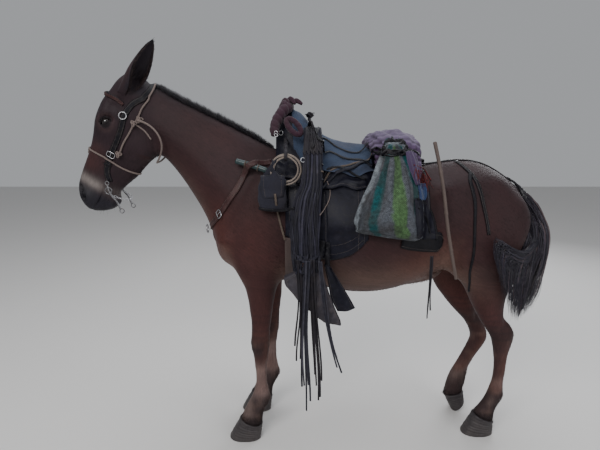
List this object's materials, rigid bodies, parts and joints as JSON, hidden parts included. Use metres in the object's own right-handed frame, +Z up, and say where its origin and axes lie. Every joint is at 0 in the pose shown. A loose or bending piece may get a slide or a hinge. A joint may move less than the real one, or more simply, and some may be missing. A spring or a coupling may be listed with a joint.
{
  "type": "saddled mule",
  "caption": "Life-size standing mule in dark brown coat, wearing a working saddle, bridle, rope halter, breast collar and crupper, with its loaded sack.",
  "frame": {"origin": "centre of the box's underside, on the floor the hooves stand on", "axes": "the mule faces -X, its left side is towards -Y, +Z is up"},
  "size_m": [2.1522, 0.7123, 1.8249],
  "materials": {
    "hide": "short dark brown hair lying flat, paler under the belly and inside the legs",
    "eye": "wet and dark",
    "hoof": "dull grey horn",
    "mane_hair": "short stiff black hair",
    "tail_hair": "long black hair",
    "blanket": "worn grey-blue cloth",
    "saddle_leather": "dark worn leather",
    "black_leather": "black worn leather",
    "seat_cloth": "grey-blue cloth cover",
    "roll_cloth": "lilac striped cloth",
    "sack": "woven plastic, grey-white with teal and yellow stripes",
    "wrap_cloth": "dark purple-brown cloth",
    "girth_web": "tan webbing",
    "hood_leather": "grey-brown leather, dusty",
    "rope": "tan twisted rope",
    "pouch_cloth": "grey-green cloth with a black edge",
    "green_plastic": "dark green",
    "tan_leather": "tan worn leather",
    "brown_leather": "brown leather",
    "stick": "bare wood",
    "bit_steel": "dull steel"
  },
  "bodies": {
    "root": {"bit_shank_left": "bit_steel", "bit_shank_right": "bit_steel", "breast_collar_left": "brown_leather", "breast_collar_right": "brown_leather", "breast_strap_low": "brown_leather", "bridle_browband": "black_leather", "bridle_headpiece": "black_leather", "cloth_roll": "roll_cloth", "cloth_side": "roll_cloth", "crupper": "black_leather", "ear_left": "hide", "ear_right": "hide", "eye_left": "eye", "eye_right": "eye", "girth": "girth_web", "green_tube": "green_plastic", "halter_headpiece": "rope", "halter_loop": "rope", "halter_noseband": "rope", "head": "hide", "hoof_front_left": "hoof", "hoof_front_right": "hoof", "hoof_hind_left": "hoof", "hoof_hind_right": "hoof", "leg_front_left": "hide", "leg_front_right": "hide", "leg_hind_left": "hide", "leg_hind_right": "hide", "mane": "mane_hair", "neck": "hide", "pommel_wrap_front": "wrap_cloth", "pommel_wrap_rear": "wrap_cloth", "pouch": "pouch_cloth", "rear_flap_left": "black_leather", "rear_flap_right": "black_leather", "rear_thong": "tan_leather", "rope_coil": "rope", "rump_strap_left": "black_leather", "rump_strap_right": "black_leather", "sack": "sack", "saddle_blanket": "blanket", "saddle_seat": "seat_cloth", "saddle_skirt": "saddle_leather", "stick": "stick", "stirrup_flap": "black_leather", "stirrup_hood_left": "hood_leather", "stirrup_hood_right": "hood_leather", "stirrup_leather_left": "saddle_leather", "stirrup_leather_right": "saddle_leather", "tail": "tail_hair", "thigh_strap_left": "tan_leather", "thigh_strap_right": "tan_leather", "thong_bundle": "saddle_leather", "thong_far": "saddle_leather", "thong_near_1": "saddle_leather", "thong_near_2": "saddle_leather", "thong_near_3": "saddle_leather", "thong_near_4": "saddle_leather", "trunk": "hide"}
  },
  "joints": []
}
